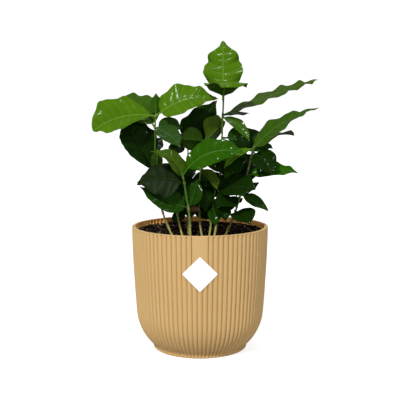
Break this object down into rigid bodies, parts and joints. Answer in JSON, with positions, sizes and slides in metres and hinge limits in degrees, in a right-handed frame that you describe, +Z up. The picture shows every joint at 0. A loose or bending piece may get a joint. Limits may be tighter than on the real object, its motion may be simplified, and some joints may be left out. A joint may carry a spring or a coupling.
{
  "type": "potted coffee plant",
  "caption": "Young leafy coffee seedlings in compost in a round pot with fine vertical ribs, a blank label and a small foot; stands on its flat base.",
  "frame": {"origin": "centre of the pot's flat underside, on the surface that it stands on", "axes": "+Z up along the pot's axis; the label faces -Y, the side that the picture shows; +X to the right of it"},
  "size_m": [0.2302, 0.1516, 0.3196],
  "materials": {
    "pot_plastic": "matte",
    "compost": "matte",
    "label_paper": "satin",
    "stem_wood": "satin",
    "leaf": "gloss"
  },
  "bodies": {
    "root": {"pot": "pot_plastic", "soil": "compost", "label": "label_paper", "stem_left": "stem_wood", "stem_near_left": "stem_wood", "stem_front": "stem_wood", "stem_slender": "stem_wood", "stem_middle": "stem_wood", "stem_short": "stem_wood", "stem_tall": "stem_wood", "stem_right": "stem_wood", "foliage_left_lower": "leaf", "foliage_left_upper": "leaf", "foliage_near_left_crown": "leaf", "foliage_front_lower": "leaf", "foliage_front_upper": "leaf", "foliage_slender_lower": "leaf", "foliage_slender_upper": "leaf", "foliage_middle_lower": "leaf", "foliage_middle_upper": "leaf", "foliage_short_crown": "leaf", "foliage_tall_lower": "leaf", "foliage_tall_middle": "leaf", "foliage_tall_top": "leaf", "foliage_right_lower": "leaf", "foliage_right_middle": "leaf", "foliage_right_upper": "leaf"}
  },
  "joints": []
}
